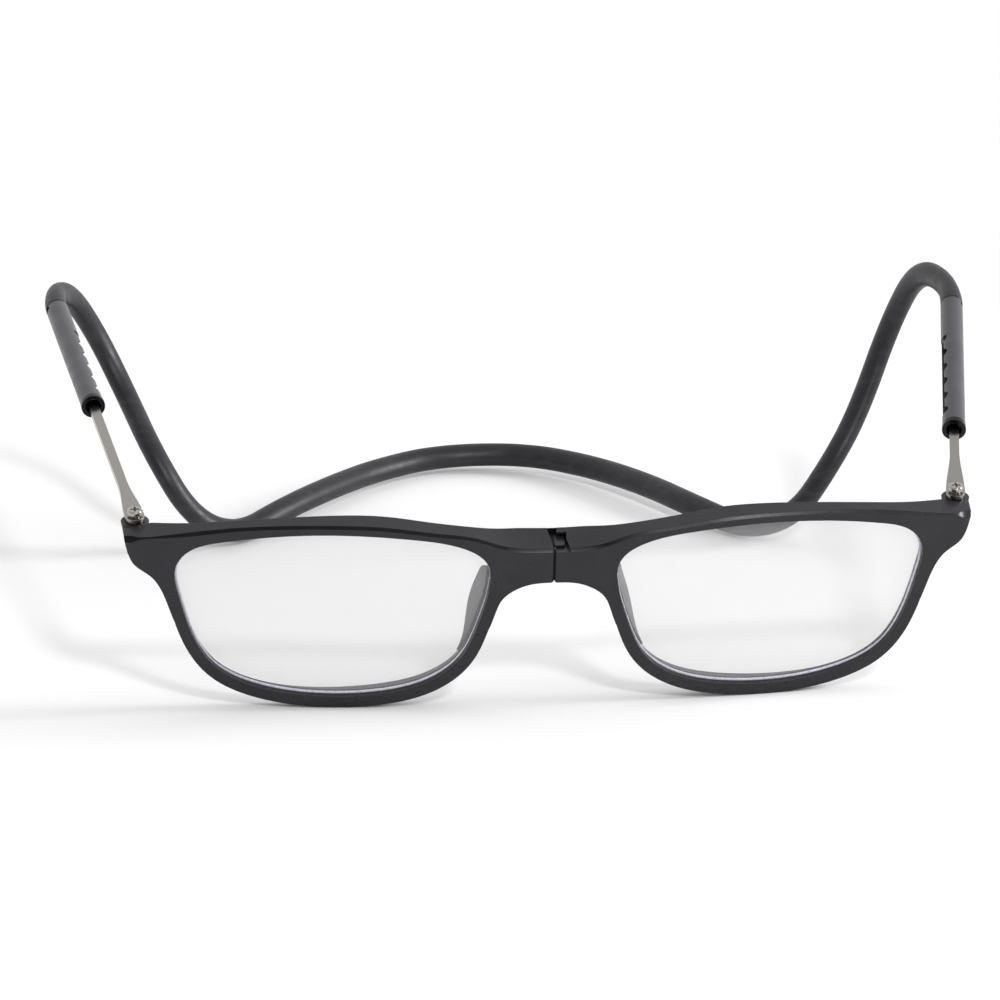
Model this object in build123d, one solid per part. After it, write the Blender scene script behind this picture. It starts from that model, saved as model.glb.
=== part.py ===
# Reading glasses that open at a magnetic bridge.
#
# Two moulded front halves meet at the nose. Each half turns on a vertical screw at
# its end piece, on a flat metal temple strip. The strip slides in a slotted side
# tube, and one moulded neckband joins both tubes behind the head.
#
# The glasses stand on a table as they do when they are put down: on the lower rims
# and on the two low points of the neckband. X runs across the face, Y runs from the
# front to the neckband and Z is up. The origin is on the table, below the middle of
# the bridge seam. Left and right are those of someone who looks at the front.
#
# All lengths are in millimetres and all angles in degrees.

from build123d import *
import math
import os

# Front, in its own frame: across from the seam, back from the bridge face, and up
# from the middle of the seam
front_lean = 12.0
front_radius = 300.0
front_flat = 6.0
nose_half_gap = 10.5
opening_width = 51.8
opening_height = 31.0
opening_top = 5.3
rim_width = 2.0
end_reach = 8.7
bridge_drop = 4.0
bridge_depth = 5.8
rim_depth = 3.4
end_depth = 4.7
end_round = 2.2
seam_corner_radius = 0.7
crease_flat = 0.4
overrun = 20.0
outline_steps = 48

# Seam between the halves
seam_gap = 0.06
seam_back_gap = 1.7
seam_land = 0.4
seam_edge = 0.15
tongue_length = 1.9
tongue_setback = 1.7
tongue_depth = 2.9
tongue_root_depth = 3.8
tongue_height = 0.4
tongue_top = 2.15
tongue_corner_radius = 0.5
tongue_roof_play = 0.45
tongue_floor_play = 0.2
tongue_front_play = 0.05
tongue_end_play = 0.25
slot_front_flare = 0.5
slot_back_flare = 0.45
slot_roof_setback = 4.6
magnet_diameter = 3.0
magnet_length = 2.5
magnet_inset = 0.5
magnet_setback = 2.3
magnet_drop = 1.4

# Lenses
lens_setback = 1.1
lens_thickness = 1.8
lens_groove = 0.6
lens_play = 0.05
lens_edge_thickness = 0.8

# Nose pads, moulded with the halves
pad_top_drop = 2.8
pad_length = 17.0
pad_reach = 7.3
pad_thickness = 1.5
pad_edge_inset = 0.2
pad_lens_gap = 0.2
pad_spread_share = 0.27

# Hinges
hinge_inset = 2.5
hinge_setback = 0.8
boss_diameter = 4.7
boss_foot_diameter = 2.6
boss_height = 6.0
boss_top = 3.2
strip_lift = 0.05
screw_diameter = 1.4
screw_length = 4.4
screw_head_diameter = 2.5
screw_head_height = 0.8
screw_crown_radius = 0.3
screw_shoulder_diameter = 1.8
screw_shoulder_height = 0.4
recess_length = 1.5
recess_width = 0.36
recess_depth = 0.45
screw_play = 0.05
eye_play = 0.3
insert_diameter = 2.4
insert_length = 3.4
insert_play = 0.02

# Temple strips
strip_width = 1.6
strip_thickness = 0.95
eye_diameter = 3.2
strip_flat = 3.2
flare_length = 12.5
strip_past_catch = 0.6

# Side tubes
tube_diameter = 3.9
tube_bore = 2.9
tube_length = 38.0
bushing_diameter = 4.1
bushing_lip = 1.2
bushing_spigot = 1.0
bushing_bore = 2.1
bushing_mouth = 2.7
bushing_play = 0.03
stop_count = 6
first_stop = 4.3
strip_end_play = 3.0
slot_turn = 17.0
slot_half_height = 1.25
slot_bump_drop = 0.65
slot_end_play = 0.15
shortest_reach = 16.5
catch_diameter = 2.7
catch_length = 5.4
catch_play = 0.02
nub_length = 1.1
nub_set = 1.8
nub_play = 0.15
nub_diameter = 3.6
notch_width = 1.1
notch_depth = 0.7

# Neckband
band_width = 3.5
band_height = 4.4
band_rear = 137.4
band_rear_lift = 1.0
band_lead = 6.5
band_plug_length = 4.0
band_plug_play = 0.03
band_flex_gap = 0.1
band_fillet_share = 0.45

# How each side stands: turned out from straight back, the set of the strip against
# its eye, and the number of stops that it is drawn out
SIDES = {
    "left": dict(sign=-1, splay=7.2, strip_set=-2.4, stops_out=5),
    "right": dict(sign=1, splay=8.3, strip_set=5.0, stops_out=0),
}

# Shares of the way from the end of the tube to the middle of the band's back:
# inward, rearward and downward
BAND_ROUTE_SHARES = {
    "left": [
        (0.034, 0.350, 0.034), (0.095, 0.464, 0.248), (0.160, 0.384, 0.494),
        (0.212, 0.086, 0.651), (0.295, 0.030, 0.913), (0.402, 0.137, 1.037),
        (0.516, 0.333, 0.991), (0.637, 0.584, 0.986), (0.753, 0.830, 1.000),
        (0.905, 1.000, 1.000),
    ],
    "right": [
        (0.031, 0.284, -0.034), (0.077, 0.402, 0.220), (0.164, 0.327, 0.568),
        (0.242, 0.263, 0.754), (0.316, 0.277, 0.949), (0.422, 0.352, 1.030),
        (0.531, 0.501, 0.998), (0.623, 0.690, 0.994), (0.742, 0.878, 1.000),
        (0.892, 1.000, 1.000),
    ],
}

# Lens opening, as shares of its width outward from the nose and of its height up
OPENING_SHARES = [
    (0.000, 0.723), (0.023, 0.852), (0.100, 0.929), (0.241, 0.976), (0.454, 1.000),
    (0.666, 0.984), (0.855, 0.932), (0.956, 0.865), (0.997, 0.765), (0.988, 0.594),
    (0.944, 0.348), (0.871, 0.161), (0.734, 0.048), (0.531, 0.003), (0.347, 0.023),
    (0.193, 0.100), (0.091, 0.245), (0.037, 0.455),
]
# Brow crease, as shares of the half front's width and of the opening's top, with the
# slope of the ledge that rises behind it
CREASE_SHARES = [
    (0.000, 0.400, 0.18), (0.056, 0.415, 0.18), (0.107, 0.500, 0.18),
    (0.175, 0.830, 0.13), (0.277, 1.040, 0.11), (0.387, 1.236, 0.12),
    (0.493, 1.292, 0.12), (0.630, 1.236, 0.11), (0.744, 1.085, 0.10),
    (0.859, 0.802, 0.12), (0.963, 0.566, 0.11), (1.030, 0.420, 0.10),
]
# Under the bridge, as shares of the half nose gap across and of the drop down
NOSE_SHARES = [(0.500, 1.17), (0.760, 1.60), (1.000, 3.08)]
# Outer end, as shares of the end's reach outward and of the opening's height up
# from the bridge seam
END_SHARES = [
    (0.020, -0.394), (0.230, -0.226), (0.470, -0.126), (0.760, -0.065),
    (0.900, 0.026), (0.990, 0.194),
]
# Free edge of a nose pad, as shares of its reach back and of its length down
PAD_SHARES = [
    (0.50, 0.00), (0.86, 0.12), (0.98, 0.27), (0.98, 0.42), (0.86, 0.56),
    (0.70, 0.68), (0.56, 0.79), (0.46, 0.90), (0.30, 1.00),
]
# Depth behind the front face along the half front, as shares of its width
BACK_SHARES = [
    (0.056, "bridge", 1.00), (0.106, "bridge", 0.91), (0.175, "rim", 1.06),
    (0.270, "rim", 1.00), (0.510, "rim", 0.97), (0.870, "rim", 1.00),
    (0.935, "end", 0.91), (1.030, "end", 1.00),
]


def front_depth(across):
    """How far the front face lies behind the bridge face at a distance from the seam."""
    bent = max(abs(across) - front_flat, 0)
    return front_radius - math.sqrt(front_radius ** 2 - bent ** 2)


half_width = nose_half_gap + opening_width + end_reach
opening_bottom = opening_top - opening_height
hinge_across = half_width - hinge_inset
hinge_back = front_depth(hinge_across) + end_depth + hinge_setback
strip_middle = boss_top + strip_lift + strip_thickness / 2
shoulder_bottom = boss_top + strip_lift + strip_thickness + screw_play
lean = math.radians(front_lean)
rim_low_across = nose_half_gap + opening_width / 2
seam_height = (
    (rim_width - opening_bottom) * math.cos(lean) - front_depth(rim_low_across) * math.sin(lean)
)
strip_past_nub = catch_length - nub_set + strip_past_catch
travel = tube_length - band_plug_length - first_stop - strip_past_nub - strip_end_play
stop_pitch = travel / (stop_count - 1)
catch_place = shortest_reach + first_stop + travel
strip_length = strip_flat + catch_place + strip_past_nub
tube_end = bushing_lip + tube_length

FRONT = Location((0, 0, seam_height), (front_lean, 0, 0))


# Helpers


def prism(face):
    """A face drawn across and up, run far out to the front and the back."""
    return extrude(face, amount=half_width + overrun, dir=(0, 1, 0), both=True)


def slab(face):
    """A face drawn across and back, run far out upward and downward."""
    return extrude(face, amount=half_width + overrun, dir=(0, 0, 1), both=True)


def upright(edges):
    """The face inside edges that are drawn across and up."""
    return Plane.XZ * make_face(edges)


def box_between(across, back, up):
    """The box between two places along each axis."""
    sizes = [high - low for low, high in (across, back, up)]
    return Pos(across[0], back[0], up[0]) * Box(*sizes, align=(Align.MIN,) * 3)


def post(diameter, bottom, height):
    return Pos(0, 0, bottom) * Cylinder(diameter / 2, height, align=(Align.CENTER, Align.CENTER, Align.MIN))


def rod(diameter, start, length):
    """A round bar along the temple, from a place on it."""
    return Pos(0, start, 0) * Rot(-90, 0, 0) * post(diameter, 0, length)


# Front halves


def front_line(depth):
    """The front's line in plan at a depth behind its face, past both ends."""
    radius = front_radius - depth
    far = half_width + overrun - front_flat
    middle = far / 2
    return [
        Line((-overrun, depth), (front_flat, depth)),
        ThreePointArc(
            (front_flat, depth),
            (front_flat + middle, front_radius - math.sqrt(radius ** 2 - middle ** 2)),
            (front_flat + far, front_radius - math.sqrt(radius ** 2 - far ** 2)),
        ),
    ]


def between_depths(near, far):
    """Everything that lies between two depths behind the front face."""
    edges = front_line(near) + front_line(far)
    edges.append(Line(edges[0] @ 0, edges[2] @ 0))
    edges.append(Line(edges[1] @ 1, edges[3] @ 1))
    return slab(make_face(edges))


def opening_face(grow=0):
    """The lens opening, with its outline moved outward where something goes round it."""
    points = [
        (nose_half_gap + across * opening_width, opening_bottom + up * opening_height)
        for across, up in OPENING_SHARES
    ]
    line = Spline(points, periodic=True)
    if grow:
        moved = []
        for step in range(outline_steps):
            outward = (line % (step / outline_steps)).rotate(Axis.Z, 90)
            moved.append(line @ (step / outline_steps) + outward * grow)
        line = Spline(moved, periodic=True)
    return upright([line])


def brow_face():
    """Bridge, brow and end piece as one outline, which goes on above the front."""
    nose = [(across * nose_half_gap, -down * bridge_drop) for across, down in NOSE_SHARES]
    end_start = nose_half_gap + opening_width
    end = [(end_start + out * end_reach, up * opening_height) for out, up in END_SHARES]
    roof = opening_top + overrun
    seam_round = Bezier(
        (0, seam_corner_radius - bridge_drop), (0, -bridge_drop), (seam_corner_radius, -bridge_drop)
    )
    edges = [
        Line((0, roof), seam_round @ 0),
        seam_round,
        Spline([seam_round @ 1] + nose, tangents=[(1, 0), (1, -2.6)]),
        Line(nose[-1], end[0]),
        Spline(end, tangents=[(1, 2.6), (0.1, 1)]),
        Line(end[-1], (half_width, roof)),
        Line((half_width, roof), (0, roof)),
    ]
    return upright(edges)


def under_ledge_face(back, drop, slope_share):
    """Everything below a ledge at a depth, rounded down at the seam."""
    points = []
    for across, up, slope in CREASE_SHARES:
        place = across * half_width
        rise = (slope_share or slope) * (back - front_depth(place))
        points.append((place, up * opening_top - drop + rise))
    low = opening_bottom - overrun
    start = (0, points[0][1] - seam_corner_radius)
    turn = Bezier(start, points[0], (seam_corner_radius, points[0][1]))
    edges = [
        turn,
        Spline([turn @ 1] + points[1:], tangents=[(1, 0), (1, -0.2)]),
        Line(points[-1], (points[-1][0], low)),
        Line((points[-1][0], low), (0, low)),
        Line((0, low), start),
    ]
    return Pos(0, back, 0) * upright(edges)


def under_brow():
    """Everything below the front's top: a ledge that rises rearward from a slanted crease."""
    ledge, slant = [
        loft(
            [under_ledge_face(back, drop, slope_share) for back in (-overrun, overrun)],
            ruled=True,
        )
        for drop, slope_share in ((0, 0), (crease_flat, 1))
    ]
    return ledge & slant


def plan_body():
    """The half front in plan: an even front and a back that follows the walls."""
    depths = {"bridge": bridge_depth, "rim": rim_depth, "end": end_depth}
    back = []
    for across, part, share in BACK_SHARES:
        place = across * half_width
        back.append((place, front_depth(place) + share * depths[part]))
    far = back[-1][0]
    near = half_width - end_round
    halfway = (near + front_flat) / 2
    face_line = ThreePointArc(
        (front_flat, 0), (halfway, front_depth(halfway)), (near, front_depth(near))
    )
    corner = (half_width, front_depth(half_width))
    turn = Bezier(face_line @ 1, corner, (far, corner[1] + end_round))
    edges = [
        Line((0, 0), (front_flat, 0)),
        face_line,
        turn,
        Line(turn @ 1, back[-1]),
        Spline(back, tangents=[(1, 0), (1, 0.25)]),
        Line(back[0], (0, bridge_depth)),
        Line((0, bridge_depth), (0, 0)),
    ]
    return slab(make_face(edges))


def nose_pad():
    """A rounded wing that runs back from the rim beside the nose, behind the lens."""
    wall = opening_face(pad_edge_inset + pad_thickness) - opening_face(pad_edge_inset)
    slanted = extrude(
        Pos(0, lens_setback, 0) * wall.face(),
        amount=pad_reach + overrun,
        dir=Vector(pad_spread_share, 1, 0),
    )
    edge = [(back * pad_reach, -pad_top_drop - down * pad_length) for back, down in PAD_SHARES]
    line = Spline(edge, tangents=[(1, 0), (-0.6, -1)])
    outline = [line, Polyline(edge[-1], (-overrun, edge[-1][1]), (-overrun, edge[0][1]), edge[0])]
    tab = extrude(Plane.YZ * make_face(outline), amount=nose_half_gap + opening_width / 3)
    lens_back = lens_setback + lens_thickness + pad_lens_gap
    return (slanted & tab) - (prism(opening_face(lens_groove)) & between_depths(-overrun, lens_back))


def seam_room():
    """The half gap at the seam: a fine line in front that opens toward the back."""
    half = seam_gap / 2
    points = [
        (-overrun, -overrun), (half + seam_edge, -overrun), (half + seam_edge, 0),
        (half, seam_edge), (half, seam_land), (seam_back_gap / 2, bridge_depth),
        (seam_back_gap / 2, bridge_depth + overrun), (-overrun, bridge_depth + overrun),
    ]
    return slab(make_face(Polyline(points, close=True)))


def tongue():
    """The guide that crosses the seam, drawn toward negative across."""
    rear = tongue_setback + tongue_root_depth
    plan = Polyline(
        (seam_back_gap, tongue_setback), (-tongue_length, tongue_setback),
        (-tongue_length, tongue_setback + tongue_depth), (-seam_back_gap / 2, rear),
        (seam_back_gap, rear), close=True,
    )
    tip = fillet(make_face(plan).vertices().group_by(Axis.X)[0], tongue_corner_radius)
    return Pos(0, 0, tongue_top) * extrude(tip, amount=-tongue_height)


def tongue_slot():
    """Room for the tongue, open to the front and back, with a roof over its rear."""
    end = tongue_length + tongue_end_play
    bottom = tongue_top - tongue_height
    plan = Polyline(
        (-overrun, -overrun), (end + slot_front_flare, -overrun), (end + slot_front_flare, 0),
        (end, tongue_setback + tongue_depth / 2), (end + slot_back_flare, bridge_depth),
        (end + slot_back_flare, bridge_depth + overrun), (-overrun, bridge_depth + overrun),
        close=True,
    )
    channel = slab(make_face(plan))
    rooms = [
        box_between((-overrun, end + overrun), back, up)
        for back, up in (
            ((-overrun, slot_roof_setback), (bottom - tongue_front_play, overrun)),
            ((tongue_setback, slot_roof_setback), (bottom - tongue_floor_play, overrun)),
            ((tongue_setback, overrun), (bottom - tongue_floor_play, tongue_top + tongue_roof_play)),
        )
    ]
    return channel & (rooms[0] + rooms[1:])


def magnet():
    inner_face = seam_gap / 2 + magnet_inset
    return Pos(inner_face, magnet_setback, -magnet_drop) * Rot(0, 90, 0) * post(magnet_diameter, 0, magnet_length)


def magnet_pocket():
    reach = seam_gap / 2 + magnet_inset + magnet_length
    return Pos(0, magnet_setback, -magnet_drop) * Rot(0, 90, 0) * post(magnet_diameter, 0, reach)


def hinge_boss():
    """A round boss behind the end piece, which narrows toward its foot."""
    foot = Align.CENTER, Align.CENTER, Align.MAX
    return Pos(hinge_across, hinge_back, boss_top) * Cone(
        boss_foot_diameter / 2, boss_diameter / 2, boss_height, align=foot
    )


def hinge_relief():
    """Room above the boss for the strip's eye and for the strip as it folds inward."""
    radius = eye_diameter / 2 + eye_play
    centre = Pos(hinge_across, hinge_back, 0)
    eye_room = post(2 * radius, boss_top, overrun)
    fold_room = box_between((-flare_length, 0), (-radius, overrun), (boss_top, boss_top + overrun))
    return centre * (eye_room + fold_room)


def insert_hole():
    top = boss_top
    return Pos(hinge_across, hinge_back, 0) * post(
        insert_diameter + 2 * insert_play, top - insert_length, insert_length + overrun
    )


def lens():
    """A curved lens with a narrower edge all round, which seats in the rim's groove."""
    middle = lens_setback + lens_thickness / 2
    half_edge = lens_edge_thickness / 2
    body = prism(opening_face(-lens_play)) & between_depths(lens_setback, lens_setback + lens_thickness)
    edge = prism(opening_face(lens_groove - lens_play)) & between_depths(
        middle - half_edge + lens_play, middle + half_edge - lens_play
    )
    return body + edge


def lens_room():
    middle = lens_setback + lens_thickness / 2
    half_edge = lens_edge_thickness / 2
    groove = prism(opening_face(lens_groove)) & between_depths(middle - half_edge, middle + half_edge)
    return prism(opening_face()) + groove


def front_half(with_tongue):
    """One half, drawn on the side of positive across."""
    outline = brow_face() + opening_face(rim_width)
    body = prism(outline) & plan_body() & under_brow()
    body += hinge_boss()
    body -= seam_room()
    body -= [lens_room(), magnet_pocket(), hinge_relief(), insert_hole()]
    body += nose_pad()
    if with_tongue:
        return body + tongue()
    return body - tongue_slot()


# Hinges and temples


def hinge_screw():
    """Shoulder screw with a low crowned head and a cross recess, on its own axis."""
    head_bottom = shoulder_bottom + screw_shoulder_height
    head = post(screw_head_diameter, head_bottom, screw_head_height)
    head = fillet(head.edges().group_by(Axis.Z)[-1], screw_crown_radius)
    recess_bottom = head_bottom + screw_head_height - recess_depth
    for length, width in ((recess_length, recess_width), (recess_width, recess_length)):
        head -= Pos(0, 0, recess_bottom) * Box(
            length, width, recess_depth + overrun, align=(Align.CENTER, Align.CENTER, Align.MIN)
        )
    shoulder = post(screw_shoulder_diameter, shoulder_bottom, screw_shoulder_height)
    shank = post(screw_diameter, shoulder_bottom - screw_length, screw_length)
    return head + shoulder + shank


def hinge_insert():
    sleeve = post(insert_diameter, boss_top - insert_length, insert_length)
    bore = screw_diameter + 2 * insert_play
    return sleeve - post(bore, boss_top - insert_length - overrun, insert_length + 2 * overrun)


def temple_strip(strip_set):
    """Flat strip from its rounded eye, which flares from the bar, with a small set."""
    eye = eye_diameter / 2
    half = strip_width / 2
    outline = [
        ThreePointArc((-eye, 0), (0, -eye), (eye, 0)),
        Spline((eye, 0), (half, flare_length), tangents=[(0, 1), (0, 1)]),
        Line((half, flare_length), (half, strip_length)),
        Line((half, strip_length), (-half, strip_length)),
        Line((-half, strip_length), (-half, flare_length)),
        Spline((-half, flare_length), (-eye, 0), tangents=[(0, -1), (0, -1)]),
    ]
    turn = math.radians(strip_set)
    run = strip_length - strip_flat
    rise = strip_thickness / 2
    mitre = rise * math.tan(turn / 2)
    side = []
    for sign in (1, -1):
        end = Vector(run * math.cos(turn), run * math.sin(turn))
        normal = Vector(-math.sin(turn), math.cos(turn)) * rise * sign
        line = [(-eye, sign * rise), (strip_flat - sign * mitre, sign * rise)]
        line.append((strip_flat + end.X + normal.X, end.Y + normal.Y))
        side += line if sign > 0 else line[::-1]
    profile = extrude(Plane.YZ * make_face(Polyline(side, close=True)), amount=eye_diameter, both=True)
    hole = post(screw_diameter + 2 * screw_play, -overrun, 2 * overrun)
    return (slab(make_face(outline)) & profile) - hole


def nub_window(length, low, high, depth):
    """A block on the inner side of the tube, turned up as the slot is."""
    block = box_between((-depth, 0), (-length / 2, length / 2), (low, high))
    return Rot(0, slot_turn, 0) * block


def slider_catch():
    """Sleeve on the strip's end with the nub that runs in the slot, nub at zero."""
    body = rod(catch_diameter, -nub_set, catch_length)
    nub = nub_window(
        nub_length,
        nub_play - slot_half_height,
        slot_half_height - slot_bump_drop - nub_play,
        nub_diameter / 2,
    )
    nub &= rod(nub_diameter, -catch_length, 2 * catch_length)
    passage = Box(strip_width + 2 * catch_play, 2 * overrun, strip_thickness + 2 * catch_play)
    return (body + nub) - passage


def tube_bushing():
    lip = rod(bushing_diameter, 0, bushing_lip)
    spigot = rod(tube_bore - 2 * bushing_play, bushing_lip, bushing_spigot)
    bore = rod(bushing_bore, -overrun, 2 * overrun)
    mouth = Rot(-90, 0, 0) * Cone(
        bushing_mouth / 2, bushing_bore / 2, bushing_lip, align=(Align.CENTER, Align.CENTER, Align.MIN)
    )
    return lip + spigot - bore - mouth


def adjustment_slot():
    """Window along the tube with a straight lower edge and a row of stops above."""
    end_room = nub_length / 2 + slot_end_play
    low = (-slot_half_height, first_stop - end_room)
    channel_height = 2 * slot_half_height - slot_bump_drop
    channel = Pos(low[0], low[1]) * Rectangle(
        channel_height, travel + 2 * end_room, align=(Align.MIN, Align.MIN)
    )
    window = channel
    for stop in range(stop_count):
        scallop = Pos(0, first_stop + stop * stop_pitch) * Circle(slot_half_height)
        window += scallop & Pos(low[0], low[1]) * Rectangle(
            2 * slot_half_height, travel + 2 * end_room, align=(Align.MIN, Align.MIN)
        )
    cut = extrude(Plane((0, 0, 0), x_dir=(0, 0, 1), z_dir=(-1, 0, 0)) * window, amount=overrun)
    return Rot(0, slot_turn, 0) * cut


def temple_tube():
    tube = rod(tube_diameter, bushing_lip, tube_length) - rod(tube_bore, -overrun, tube_end + 2 * overrun)
    notch = Pos(tube_diameter / 2, tube_end, 0) * Box(2 * notch_depth, 2 * notch_width, 2 * notch_width)
    return tube - adjustment_slot() - notch


# Neckband


def neckband(side, tube_frame):
    """One half of the band, from its plug in the tube to the middle of the back."""
    sign = SIDES[side]["sign"]
    start = (tube_frame * Pos(0, tube_end, 0)).position
    ahead = (tube_frame * Pos(0, tube_end + band_lead, 0)).position
    middle = Vector(sign * band_flex_gap / 2, band_rear, band_height / 2 + band_rear_lift)
    points = [start, ahead]
    for inward, rearward, downward in BAND_ROUTE_SHARES[side]:
        points.append(
            Vector(
                start.X + inward * (middle.X - start.X),
                start.Y + rearward * (middle.Y - start.Y),
                start.Z + downward * (middle.Z - start.Z),
            )
        )
    points.append(middle)
    radii = []
    for before, corner, after in zip(points, points[1:], points[2:]):
        turn = math.radians((corner - before).get_angle(after - corner))
        run = min((corner - before).length, (after - corner).length)
        radii.append(band_fillet_share * run / math.tan(turn / 2))
    print(side, "band radii", [round(radius, 1) for radius in radii])
    path = FilletPolyline(*points, radius=radii)
    section = tube_frame * Pos(0, tube_end, 0) * Rot(-90, 0, 0) * Ellipse(band_width / 2, band_height / 2)
    band = sweep(section, path)
    area = math.pi * band_width * band_height / 4
    print(side, "band volume over section by length", round(band.volume / (area * path.length), 4))
    plug = rod(tube_bore - 2 * band_plug_play, tube_end - band_plug_length, band_plug_length)
    return band + tube_frame * plug


def build_side(side):
    """All pieces of one side, each in its place."""
    stance = SIDES[side]
    sign = stance["sign"]
    flip = (lambda shape: mirror(shape, about=Plane.YZ)) if sign < 0 else (lambda shape: shape)
    splay = math.radians(stance["splay"])
    eye_plane = Plane(
        origin=(sign * hinge_across, hinge_back, strip_middle),
        x_dir=(math.cos(splay), -sign * math.sin(splay), 0),
        z_dir=(0, 0, 1),
    )
    eye_frame = FRONT * eye_plane.location
    screw_frame = FRONT * Pos(sign * hinge_across, hinge_back, 0)
    bar_frame = eye_frame * Location((0, strip_flat, 0), (stance["strip_set"], 0, 0))
    reach = shortest_reach + stance["stops_out"] * stop_pitch
    tube_frame = bar_frame * Pos(0, reach, 0)
    return {
        "front_half": FRONT * flip(front_half(with_tongue=sign < 0)),
        "lens": FRONT * flip(lens()),
        "bridge_magnet": FRONT * flip(magnet()),
        "hinge_screw": screw_frame * hinge_screw(),
        "hinge_insert": screw_frame * hinge_insert(),
        "temple_bar": eye_frame * flip(temple_strip(stance["strip_set"])),
        "slider_catch": bar_frame * Pos(0, catch_place, 0) * flip(slider_catch()),
        "tube_bushing": tube_frame * tube_bushing(),
        "temple_tube": tube_frame * flip(temple_tube()),
        "neckband": neckband(side, tube_frame),
    }


if __name__ == "__main__":
    os.makedirs("parts", exist_ok=True)
    for side in SIDES:
        for name, shape in build_side(side).items():
            shape.label = f"{name}_{side}"
            export_step(shape, f"parts/{shape.label}.step")
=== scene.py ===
# The bridge lips are dark as painted shade.
# The ground edge of each lens is brightened by a painted highlight.
# Magnetic bridge reading glasses on a pale floor, in soft studio light.
#
# The moulded halves, lenses, hinges, strips and tubes are the carried-over solids with
# their finishes. The neckband is one smooth mesh that runs behind the head. The scene's
# own trim is the ground edge of each lens and the thin dark lips at the bridge.
#
# Left and right are as seen in the photograph. Lengths are in metres, apart from the two
# tables that say millimetres.

import math

import bpy
from mathutils import Matrix, Vector

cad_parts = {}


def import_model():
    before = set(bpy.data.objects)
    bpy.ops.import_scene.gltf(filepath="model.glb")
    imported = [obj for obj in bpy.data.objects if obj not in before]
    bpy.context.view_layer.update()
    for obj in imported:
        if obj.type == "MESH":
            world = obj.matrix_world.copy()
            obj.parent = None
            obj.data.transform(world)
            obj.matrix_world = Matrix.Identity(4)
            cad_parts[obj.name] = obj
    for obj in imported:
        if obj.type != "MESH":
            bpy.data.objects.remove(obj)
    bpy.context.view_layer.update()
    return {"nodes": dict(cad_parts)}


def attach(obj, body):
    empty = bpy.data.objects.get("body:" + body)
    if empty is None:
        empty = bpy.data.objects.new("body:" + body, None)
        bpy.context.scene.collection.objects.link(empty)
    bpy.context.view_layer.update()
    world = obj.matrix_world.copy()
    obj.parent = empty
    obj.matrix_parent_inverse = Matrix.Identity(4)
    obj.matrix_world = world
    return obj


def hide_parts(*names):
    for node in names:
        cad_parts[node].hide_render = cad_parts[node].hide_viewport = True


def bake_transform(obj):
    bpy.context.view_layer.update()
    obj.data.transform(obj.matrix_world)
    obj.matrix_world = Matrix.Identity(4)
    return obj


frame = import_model()

MM = 0.001
SIDES = ("left", "right")

# Camera, from the fit of the front's outline to the photograph
CAMERA_PLACE = Vector((-101.72, -945.24, 337.18)) * MM
CAMERA_ELEVATION = math.radians(17.5)
CAMERA_YAW = math.radians(5.6)
CAMERA_LENS = 218.66
CAMERA_CLIP = (0.01, 50)
SENSOR_WIDTH = 36.0

# Front: the curve and lean of the moulded halves, from the solids
FRONT_LEAN = math.radians(12.0)
FRONT_RADIUS = 300.0 * MM
FRONT_FLAT = 6.0 * MM
SEAM_HEIGHT = 26.77 * MM

# Ground edge of a lens, brightened by a painted highlight: three rows of points, from the rim
# inward, which stand a little in front of the lens. It is widest below and at the temple.
LENS_SETBACK = 1.1 * MM
LENS_FACE_TOLERANCE = 0.04 * MM
LENS_EDGE_STEPS = 220
EDGE_INSET = 0.03 * MM
EDGE_CREST = 0.45
EDGE_STANDS = (0.02 * MM, 0.09 * MM, 0.03 * MM)
EDGE_WIDTH = 0.10 * MM
EDGE_GROWTH = 0.42 * MM
EDGE_GROWTH_POWER = 1.5
EDGE_TEMPLE_SHARE = 0.8

# Bridge lips, dark as painted shade: across, depth and up in millimetres in the front's
# leaning frame
BRIDGE_LIPS = [
    ((-0.05, 0.02), (0.22, 0.50), (-3.70, 1.50)),
    ((-0.24, 0.20), (1.72, 1.90), (0.40, 1.75)),
    ((-1.10, 2.55), (5.80, 5.92), (1.50, 3.05)),
]

# Neckband: the points that its line follows, in millimetres, from the left tube round
# the back of the head to the right tube
BAND_ROUTE = [
    (-78.69, 90.65, 46.50), (-79.51, 97.01, 47.58), (-76.02, 107.01, 45.03),
    (-71.22, 112.34, 35.76), (-66.11, 108.60, 25.11), (-62.02, 94.67, 18.31),
    (-55.49, 92.05, 6.97), (-47.08, 97.05, 1.60), (-38.11, 106.22, 3.59),
    (-28.60, 117.95, 3.81), (-19.47, 129.45, 3.20), (-7.52, 137.40, 3.20),
    (8.36, 137.40, 3.20), (19.90, 128.79, 3.20), (29.05, 115.53, 3.48),
    (36.13, 102.19, 3.29), (44.51, 91.68, 1.80), (52.66, 86.39, 5.57),
    (58.36, 85.40, 14.65), (64.36, 89.91, 23.31), (71.05, 95.21, 39.51),
    (74.59, 86.88, 51.33), (77.91, 72.99, 51.64), (76.97, 66.84, 49.75),
]
BAND_WIDTH = 3.5 * MM
BAND_HEIGHT = 4.4 * MM
BAND_SIDES = 28
BAND_STEPS = 460
BAND_CURVE_STEPS = 32
# The band is round like the tube at its ends and turns oval over this length
TUBE_DIAMETER = 3.9 * MM
BAND_BLEND = 7.0 * MM
# The direction across the band at its left and at its right end
BAND_END_SIDES = (Vector((1, 0.12, 0)), Vector((1, -0.15, 0)))

# Finishes
VIOLET = (0.96, 0.935, 1.0, 1)
TEXTURE_SPAN = (0.3, 0.7)
FINE_PITS = 0.01 * MM
METAL_EDGE = 0.1 * MM
LENS_IOR = 1.49
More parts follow.
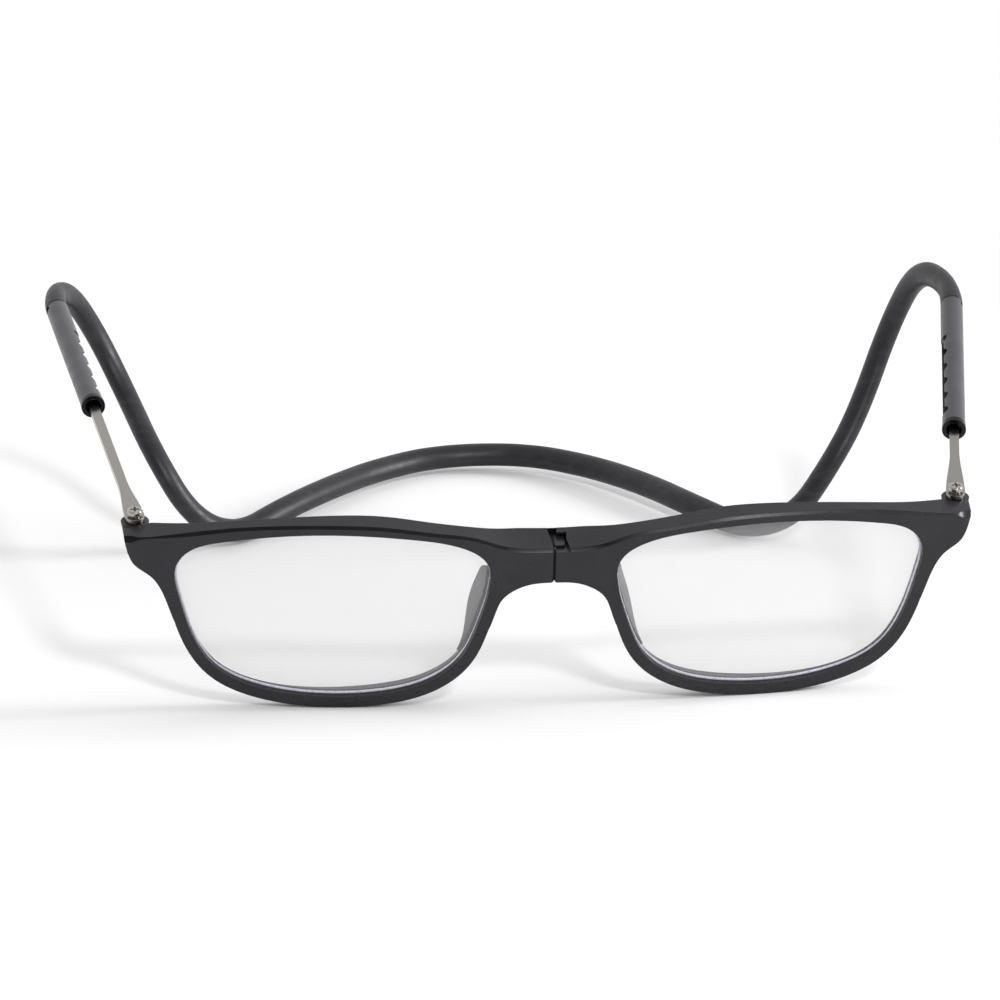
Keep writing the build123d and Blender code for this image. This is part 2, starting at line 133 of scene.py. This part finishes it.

# Painted shade on the front, a darker tone with duller gloss: in the seam, and in the crease
# of the brow, which is found by the tilt of its flat, its height and its distance across
SEAM_DARK = 0.22 * MM
SEAM_CLEAR = 1.3 * SEAM_DARK
CREASE_TILT = (0.30, 0.40)
LEDGE_TILT = (0.64, 0.74)
BROW_HEIGHT = 28.5 * MM
BROW_FADE = 1.0 * MM
CREASE_END = 8.0 * MM
CREASE_FADE = 8.0 * MM
PAINTED_SHADE_TONE = (0.0012, 0.0010, 0.0015, 1)
SHADE_DULL_ROUGHNESS = 0.60

# Studio: the floor goes to plain white between two distances from its middle, and the
# room grows lighter from behind the camera to behind the object
FLOOR_SIZE = 4.0
FLOOR_MIDDLE = (0, 0.04, 0)
FLOOR_TONE = (0.94, 0.94, 0.94, 1)
FLOOR_FADE = (0.10, 0.28)
ROOM_SPAN = (-1, 0.4)
ROOM_LEVELS = (0.36, 0.82)
LAMP_TARGET = Vector((0, 0.05, 0.01))
# Lamps: name, place, size and power in watts
LAMPS = [
    ("front_lamp", Vector((0.42, -1.38, 1.25)), 0.26, 12.0),
    ("right_lamp", Vector((1.7, -0.05, 0.66)), 0.64, 26.0),
]


# Shader nodes


class Nodes:
    """The shader nodes of a material or a world."""

    def __init__(self, owner):
        owner.use_nodes = True
        self.tree = owner.node_tree
        self.tree.nodes.clear()

    def add(self, kind, **settings):
        node = self.tree.nodes.new(kind)
        for key, value in settings.items():
            setattr(node, key, value)
        return node

    def join(self, source, target):
        self.tree.links.new(source, target)

    def calculate(self, operation, *values):
        """The result of a Math node on sockets and numbers."""
        node = self.add("ShaderNodeMath", operation=operation)
        for value, slot in zip(values, node.inputs):
            if isinstance(value, bpy.types.NodeSocket):
                self.join(value, slot)
            else:
                slot.default_value = value
        return node.outputs[0]

    def between(self, source, span, levels, **settings):
        """A value that goes from one level to another over a span of its source."""
        node = self.add("ShaderNodeMapRange", **settings)
        names = ("From Min", "From Max", "To Min", "To Max")
        for name, value in zip(names, (*span, *levels)):
            node.inputs[name].default_value = value
        self.join(source, node.inputs["Value"])
        return node.outputs["Result"]

    def parts(self, source):
        """The X, Y and Z of a vector."""
        node = self.add("ShaderNodeSeparateXYZ")
        self.join(source, node.inputs[0])
        return node.outputs

    def mix(self, share, first, second, target):
        """Two shaders mixed by a share, which go to a target."""
        node = self.add("ShaderNodeMixShader")
        for source, slot in zip((share, first, second), node.inputs):
            self.join(source, slot)
        self.join(node.outputs["Shader"], target)

    def seen_share(self, path):
        """One for the rays that see a surface directly, in a mirror or through glass."""
        share = path.outputs["Is Camera Ray"]
        for kind in ("Is Glossy Ray", "Is Transmission Ray"):
            share = self.calculate("MAXIMUM", share, path.outputs[kind])
        return share


class Finish(Nodes):
    """A material of one principled shader, with textures in the piece's own space."""

    def __init__(self, name):
        self.material = bpy.data.materials.new(name)
        super().__init__(self.material)
        self.output = self.add("ShaderNodeOutputMaterial")
        self.shader = self.add("ShaderNodeBsdfPrincipled")
        self.join(self.shader.outputs["BSDF"], self.output.inputs["Surface"])
        self.place = self.add("ShaderNodeTexCoord").outputs

    def set(self, **values):
        """Plain values of the shader, by the names of its sockets."""
        for key, value in values.items():
            self.shader.inputs[key.replace("_", " ")].default_value = value

    def feed(self, **sources):
        """Textures for the shader, by the names of its sockets."""
        for key, source in sources.items():
            self.join(source, self.shader.inputs[key.replace("_", " ")])

    def noise(self, scale, detail, stretch=(1, 1, 1)):
        mapping = self.add("ShaderNodeMapping")
        mapping.inputs["Scale"].default_value = stretch
        self.join(self.place["Object"], mapping.inputs["Vector"])
        texture = self.add("ShaderNodeTexNoise")
        texture.inputs["Scale"].default_value = scale
        texture.inputs["Detail"].default_value = detail
        self.join(mapping.outputs["Vector"], texture.inputs["Vector"])
        return texture.outputs["Fac"]

    def ramp(self, source, low, high, start=0.35, end=0.65):
        node = self.add("ShaderNodeValToRGB")
        first, last = node.color_ramp.elements
        first.position, last.position = start, end
        first.color, last.color = (*low, 1), (*high, 1)
        self.join(source, node.inputs["Fac"])
        return node.outputs["Color"]

    def spread(self, source, low, high):
        """A texture's usual span spread over a span of values."""
        return self.between(source, TEXTURE_SPAN, (low, high))

    def painted_shade_in(self, tone, gloss):
        """Painted shade, a dark tone with duller gloss, in the seam of the bridge and along
        the brow crease.
        """
        place = self.parts(self.place["Object"])
        normal = self.parts(self.place["Normal"])
        middle = self.calculate("ABSOLUTE", place["X"])
        seam = self.between(middle, (SEAM_DARK, SEAM_CLEAR), (1, 0))
        crease = self.calculate(
            "MULTIPLY",
            self.between(normal["Z"], CREASE_TILT, (0, 1)),
            self.between(normal["Z"], LEDGE_TILT, (1, 0)),
        )
        for limit in (
            self.between(place["Z"], (BROW_HEIGHT, BROW_HEIGHT + BROW_FADE), (0, 1)),
            self.between(place["X"], (CREASE_END, CREASE_END + CREASE_FADE), (1, 0)),
        ):
            crease = self.calculate("MULTIPLY", crease, limit)
        shade_share = self.calculate("MAXIMUM", crease, seam)
        shaded = self.add("ShaderNodeMixRGB")
        self.join(shade_share, shaded.inputs["Fac"])
        self.join(tone, shaded.inputs["Color1"])
        shaded.inputs["Color2"].default_value = PAINTED_SHADE_TONE
        dulled = self.calculate("MULTIPLY_ADD", shade_share, SHADE_DULL_ROUGHNESS, gloss)
        return shaded.outputs["Color"], dulled

    def bump(self, source, depth, edge=0.0):
        """Relief of a depth, over edges rounded by a radius."""
        node = self.add("ShaderNodeBump")
        node.inputs["Strength"].default_value = 1.0
        node.inputs["Distance"].default_value = depth
        self.join(source, node.inputs["Height"])
        if edge:
            bevel = self.add("ShaderNodeBevel", samples=8)
            bevel.inputs["Radius"].default_value = edge
            self.join(bevel.outputs["Normal"], node.inputs["Normal"])
        self.feed(Normal=node.outputs["Normal"])


# Materials


def charcoal(value):
    """A dark neutral with a faint violet cast."""
    return (value * 1.0, value * 0.96, value * 1.10)


def moulded(name, tones, rough, grain, depth, edge=0.0, shine=0.42, crease=False):
    """Satin moulded plastic: fine grain, uneven sheen and a faint change of tone."""
    finish = Finish(name)
    tone = finish.ramp(finish.noise(160, detail=3), *map(charcoal, tones))
    gloss = finish.spread(finish.noise(420, detail=5), rough - 0.05, rough + 0.06)
    # With crease set, painted shade darkens the bridge seam and the brow crease.
    if crease:
        tone, gloss = finish.painted_shade_in(tone, gloss)
    finish.feed(Base_Color=tone, Roughness=gloss)
    finish.bump(finish.noise(grain, detail=6), depth, edge)
    finish.set(Specular_IOR_Level=shine, Specular_Tint=VIOLET)
    return finish.material


def rubber():
    """Soft-touch band: matt, with pale scuffs drawn out along it and tiny pits."""
    finish = Finish("band_rubber")
    scuffs = finish.noise(620, detail=8, stretch=(0.3, 1, 1.4))
    tone = finish.ramp(scuffs, charcoal(0.012), charcoal(0.028), start=0.48, end=0.82)
    gloss = finish.spread(finish.noise(700, detail=4), 0.38, 0.50)
    finish.feed(Base_Color=tone, Roughness=gloss)
    finish.bump(finish.noise(3200, detail=6), FINE_PITS)
    finish.set(Specular_IOR_Level=0.40, Specular_Tint=VIOLET)
    return finish.material


def metal(name, colour, rough, stretch=(1, 1, 1)):
    """Drawn metal with fine marks along its length."""
    finish = Finish(name)
    marks = finish.noise(900, detail=5, stretch=stretch)
    dark = tuple(0.90 * part for part in colour)
    gloss = finish.spread(marks, rough - 0.06, rough + 0.08)
    finish.feed(Base_Color=finish.ramp(marks, dark, colour), Roughness=gloss)
    finish.bump(marks, 0.003 * MM, METAL_EDGE)
    finish.set(Metallic=1.0)
    return finish.material


def lens_glass():
    """Clear lens with a pale veil, a painted reflection of the bright room, and faint dust.
    """
    finish = Finish("lens_clear")
    dust = finish.noise(1500, detail=8)
    # The pale base colour, seen through the alpha, is a painted reflection.
    tone = finish.ramp(dust, (0.66, 0.66, 0.672), (0.69, 0.69, 0.70), start=0.50, end=0.80)
    gloss = finish.spread(finish.noise(60, detail=2), 0.03, 0.06)
    finish.feed(Base_Color=tone, Roughness=gloss)
    finish.set(Alpha=0.19, IOR=LENS_IOR)
    return finish.material


def lens_edge_glass():
    """The ground edge of a lens, pale and faintly violet, its brightness partly a painted
    highlight of the light it gathers.
    """
    finish = Finish("lens_edge_highlight")
    marks = finish.noise(2400, detail=4)
    finish.feed(Base_Color=finish.ramp(marks, (0.70, 0.69, 0.84), (0.95, 0.94, 1.0)))
    finish.bump(marks, FINE_PITS)
    finish.set(Roughness=0.2, IOR=LENS_IOR)
    return finish.material


def dress():
    """Give each kind of carried-over solid its finish."""
    finishes = {
        # The front's crease=True paints shade into the bridge seam and the brow crease.
        "front_half": moulded(
            "frame_black", tones=(0.012, 0.016), rough=0.30, grain=5200,
            depth=0.003 * MM, edge=0.12 * MM, shine=0.36, crease=True,
        ),
        "lens": lens_glass(),
        "bridge_magnet": metal("magnet_nickel", (0.72, 0.71, 0.69), rough=0.20),
        "hinge_screw": metal("screw_steel", (0.44, 0.42, 0.385), rough=0.16),
        "hinge_insert": metal("insert_brass", (0.70, 0.55, 0.30), rough=0.34),
        "temple_bar": metal(
            "temple_steel", (0.32, 0.308, 0.283), rough=0.20, stretch=(8, 0.35, 8)
        ),
        "slider_catch": moulded(
            "catch_black", tones=(0.016, 0.022), rough=0.40, grain=4200,
            depth=0.01 * MM, edge=0.1 * MM,
        ),
        "tube_bushing": moulded(
            "bushing_gloss", tones=(0.002, 0.003), rough=0.12, grain=900,
            depth=0.002 * MM, edge=0.2 * MM, shine=0.24,
        ),
        "temple_tube": moulded(
            "tube_satin", tones=(0.048, 0.064), rough=0.32, grain=5600,
            depth=0.005 * MM, edge=0.12 * MM,
        ),
    }
    for kind, finish in finishes.items():
        for side in SIDES:
            node = frame["nodes"][f"{kind}_{side}"]
            node.data.materials.clear()
            node.data.materials.append(finish)


# Pieces


def new_piece(name, vertices, faces, finish, smooth=False):
    """A mesh object with its finish, whose four-sided faces may be smooth."""
    mesh = bpy.data.meshes.new(name)
    mesh.from_pydata(vertices, [], faces)
    mesh.update()
    for face in mesh.polygons:
        face.use_smooth = smooth and len(face.vertices) == 4
    mesh.materials.append(finish)
    piece = bpy.data.objects.new(name, mesh)
    bpy.context.scene.collection.objects.link(piece)
    return piece


def running_lengths(line):
    """The length of a line up to each of its points."""
    lengths = [0.0]
    for before, after in zip(line, line[1:]):
        lengths.append(lengths[-1] + (after - before).length)
    return lengths


def even_steps(line, count):
    """Points spaced evenly along a line."""
    reach = running_lengths(line)
    points = []
    place = 0
    for step in range(count + 1):
        along = reach[-1] * step / count
        while place < len(line) - 2 and reach[place + 1] < along:
            place += 1
        share = (along - reach[place]) / max(reach[place + 1] - reach[place], 1e-12)
        points.append(line[place].lerp(line[place + 1], share))
    return points


def ease(share):
    """A share that leaves zero and reaches one gently."""
    return share * share * (3 - 2 * share)


# Front: lens edges and bridge lips


def to_front(point):
    """A place in the world as across, depth and up in the front's leaning frame."""
    return Matrix.Rotation(-FRONT_LEAN, 3, "X") @ (point - Vector((0, 0, SEAM_HEIGHT)))


def to_world(place):
    """A place in the front's leaning frame as a place in the world."""
    return Matrix.Rotation(FRONT_LEAN, 3, "X") @ place + Vector((0, 0, SEAM_HEIGHT))


def face_depth(across):
    """How far the front's curved face stands back at a distance across."""
    bent = max(abs(across) - FRONT_FLAT, 0)
    return FRONT_RADIUS - math.sqrt(FRONT_RADIUS ** 2 - bent ** 2)


def hull(points):
    """The outline round flat points, counter-clockwise."""
    points = sorted(set(points))

    def chain(run):
        line = []
        for point in run:
            while len(line) > 1:
                (ax, az), (bx, bz) = line[-2], line[-1]
                if (bx - ax) * (point[1] - az) - (bz - az) * (point[0] - ax) > 0:
                    break
                line.pop()
            line.append(point)
        return line[:-1]

    return chain(points) + chain(points[::-1])


def lens_outline(side):
    """The outline of a lens's front face, flat in the front's frame, in even steps."""
    face = []
    for vertex in frame["nodes"][f"lens_{side}"].data.vertices:
        point = to_front(vertex.co)
        if abs(point.y - face_depth(point.x) - LENS_SETBACK) < LENS_FACE_TOLERANCE:
            face.append((round(point.x, 7), round(point.z, 7)))
    outline = [Vector((across, 0, up)) for across, up in hull(face)]
    return even_steps(outline + outline[:1], LENS_EDGE_STEPS)[:-1]


def lens_edge_highlight(side, finish):
    """A ground edge just inside the rim, bright as a painted highlight, widest below and at
    the temple.
    """
    temple_sign = -1 if side == "left" else 1
    line = lens_outline(side)
    middle = sum(line, Vector()) / len(line)
    vertices = []
    for index, point in enumerate(line):
        ahead = line[(index + 1) % len(line)] - line[index - 1]
        inward = Vector((-ahead.z, 0, ahead.x)).normalized()
        if inward.dot(middle - point) < 0:
            inward = -inward
        below = max(inward.z, 0)
        temple = max(-temple_sign * inward.x, 0)
        growth = max(below, EDGE_TEMPLE_SHARE * temple) ** EDGE_GROWTH_POWER
        width = EDGE_WIDTH + EDGE_GROWTH * growth
        for out, stand in zip((EDGE_INSET, EDGE_CREST * width, width), EDGE_STANDS):
            place = point + inward * out
            place.y = face_depth(place.x) + LENS_SETBACK - stand
            vertices.append(to_world(place))
    faces = []
    rows = len(EDGE_STANDS)
    for here in range(0, len(vertices), rows):
        ahead = (here + rows) % len(vertices)
        for row in range(rows - 1):
            faces.append((here + row, ahead + row, ahead + row + 1, here + row + 1))
    piece = new_piece(f"lens_edge_{side}", vertices, faces, finish, smooth=True)
    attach(piece, f"front_{side}")


def bridge_shade_lips():
    """Three thin lips of the left half that close the running gaps at the seam, dark as
    painted shade.
    """
    vertices = []
    faces = []
    for (left, right), (front, back), (low, high) in BRIDGE_LIPS:
        start = len(vertices)
        for up in (low, high):
            for across, depth in ((left, front), (right, front), (right, back), (left, back)):
                vertices.append(to_world(Vector((across, depth, up)) * MM))
        sides = [(0, 3, 2, 1), (4, 5, 6, 7)]
        sides += [(n, (n + 1) % 4, (n + 1) % 4 + 4, n + 4) for n in range(4)]
        faces += [tuple(start + corner for corner in side) for side in sides]
    finish = moulded(
        "lip_painted_shade", tones=(0.003, 0.005), rough=0.5, grain=5200, depth=0.01 * MM, shine=0.15
    )
    piece = new_piece("bridge_shade_lips", vertices, faces, finish)
    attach(piece, "front_left")


# Neckband


def band_line():
    """The band's smooth line, read from a quadratic spline on its route."""
    curve = bpy.data.curves.new("band_line", "CURVE")
    curve.dimensions = "3D"
    spline = curve.splines.new("NURBS")
    spline.points.add(len(BAND_ROUTE) - 1)
    for point, place in zip(spline.points, BAND_ROUTE):
        point.co = (*(part * MM for part in place), 1)
    spline.order_u = 3
    spline.use_endpoint_u = True
    spline.resolution_u = BAND_CURVE_STEPS
    holder = bpy.data.objects.new("band_line", curve)
    mesh = bpy.data.meshes.new_from_object(holder)
    line = [vertex.co.copy() for vertex in mesh.vertices]
    bpy.data.objects.remove(holder)
    bpy.data.curves.remove(curve)
    bpy.data.meshes.remove(mesh)
    return line


def carried_frames(points, start_side, end_side):
    """The line's direction and the direction across it at each point, without twist.

    The direction across is carried along from both ends and eased from one to the other.
    """
    tangents = []
    for index in range(len(points)):
        before = points[max(index - 1, 0)]
        after = points[min(index + 1, len(points) - 1)]
        tangents.append((after - before).normalized())

    def square(side, tangent):
        return (side - tangent * side.dot(tangent)).normalized()

    def carry(order, side):
        sides = {}
        for index in order:
            side = square(side, tangents[index])
            sides[index] = side
        return sides

    last = len(points) - 1
    forward = carry(range(last + 1), start_side)
    backward = carry(range(last, -1, -1), end_side)
    sides = []
    for index, tangent in enumerate(tangents):
        other = backward[index]
        if forward[index].dot(other) < 0:
            other = -other
        sides.append(square(forward[index].lerp(other, ease(index / last)), tangent))
    return tangents, sides


def neckband():
    """One oval moulding from tube to tube, round where it meets each tube."""
    line = band_line()
    length = running_lengths(line)[-1]
    points = even_steps(line, BAND_STEPS)
    tangents, sides = carried_frames(points, *BAND_END_SIDES)
    vertices = []
    for index, point in enumerate(points):
        along = length * min(index, BAND_STEPS - index) / BAND_STEPS
        share = ease(min(along / BAND_BLEND, 1))
        half_width = (TUBE_DIAMETER + (BAND_WIDTH - TUBE_DIAMETER) * share) / 2
        half_height = (TUBE_DIAMETER + (BAND_HEIGHT - TUBE_DIAMETER) * share) / 2
        upward = sides[index].cross(tangents[index]).normalized()
        for corner in range(BAND_SIDES):
            angle = 2 * math.pi * corner / BAND_SIDES
            vertices.append(
                point
                + sides[index] * half_width * math.cos(angle)
                + upward * half_height * math.sin(angle)
            )
    faces = []
    last_ring = len(vertices) - BAND_SIDES
    for here in range(0, last_ring, BAND_SIDES):
        ahead = here + BAND_SIDES
        for corner in range(BAND_SIDES):
            following = (corner + 1) % BAND_SIDES
            faces.append((here + corner, here + following, ahead + following, ahead + corner))
    faces.append(tuple(reversed(range(BAND_SIDES))))
    faces.append(tuple(range(last_ring, len(vertices))))
    piece = new_piece("neckband_skin", vertices, faces, rubber(), smooth=True)
    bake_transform(piece)
    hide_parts("neckband_left", "neckband_right")


# Studio


def floor():
    """White floor that keeps soft shadows and goes to plain white farther off."""
    finish = Finish("floor_white")
    finish.set(Base_Color=FLOOR_TONE, Roughness=0.8, Specular_IOR_Level=0.1)
    distance = finish.add("ShaderNodeVectorMath", operation="LENGTH")
    finish.join(finish.place["Object"], distance.inputs[0])
    far = finish.between(
        distance.outputs["Value"], FLOOR_FADE, (0, 1), interpolation_type="SMOOTHSTEP"
    )
    seen = finish.seen_share(finish.add("ShaderNodeLightPath"))
    share = finish.calculate("MULTIPLY", far, seen)
    glow = finish.add("ShaderNodeEmission").outputs["Emission"]
    finish.mix(share, finish.shader.outputs["BSDF"], glow, finish.output.inputs["Surface"])
    size = FLOOR_SIZE
    corners = [(-size, -size, 0), (size, -size, 0), (size, size, 0), (-size, size, 0)]
    piece = new_piece("floor", corners, [(0, 1, 2, 3)], finish.material)
    piece.location = FLOOR_MIDDLE


def world():
    """White where the camera looks, and a room that is dimmer behind the camera.

    Mirrors and glass show the white too, where they look away from the camera.
    """
    studio = bpy.data.worlds.new("studio")
    bpy.context.scene.world = studio
    nodes = Nodes(studio)
    output = nodes.add("ShaderNodeOutputWorld")
    backward = nodes.parts(nodes.add("ShaderNodeTexCoord").outputs["Generated"])["Y"]
    room = nodes.add("ShaderNodeBackground")
    plain = nodes.add("ShaderNodeBackground")
    for background in (room, plain):
        background.inputs["Color"].default_value = (1, 1, 1, 1)
    nodes.join(nodes.between(backward, ROOM_SPAN, ROOM_LEVELS), room.inputs["Strength"])
    path = nodes.add("ShaderNodeLightPath")
    behind = nodes.between(backward, (0, 1), (0, 1))
    seen = nodes.calculate("MULTIPLY", nodes.seen_share(path), behind)
    share = nodes.calculate("MAXIMUM", seen, path.outputs["Is Camera Ray"])
    nodes.mix(share, room.outputs[0], plain.outputs[0], output.inputs["Surface"])


def aimed(name, data, place, direction):
    """A lamp or camera at a place, turned to look in a direction."""
    item = bpy.data.objects.new(name, data)
    item.location = place
    item.rotation_euler = direction.to_track_quat("-Z", "Y").to_euler()
    bpy.context.scene.collection.objects.link(item)
    return item


def lamps():
    """Soft lamps in front and at the right, which throw the shadows to the left."""
    for name, place, size, power in LAMPS:
        data = bpy.data.lights.new(name, "AREA")
        data.shape = "DISK"
        data.size = size
        data.energy = power
        aimed(name, data, place, LAMP_TARGET - place)


def camera():
    """The camera at the photograph's viewing angle."""
    data = bpy.data.cameras.new("camera")
    data.lens = CAMERA_LENS
    data.sensor_width = SENSOR_WIDTH
    data.clip_start, data.clip_end = CAMERA_CLIP
    forward = Vector((
        math.sin(CAMERA_YAW) * math.cos(CAMERA_ELEVATION),
        math.cos(CAMERA_YAW) * math.cos(CAMERA_ELEVATION),
        -math.sin(CAMERA_ELEVATION),
    ))
    bpy.context.scene.camera = aimed("camera", data, CAMERA_PLACE, forward)


dress()
bridge_shade_lips()
neckband()
edge_highlight_finish = lens_edge_glass()
for side in SIDES:
    lens_edge_highlight(side, edge_highlight_finish)
floor()
world()
lamps()
camera()
bpy.context.scene.view_settings.view_transform = "Standard"
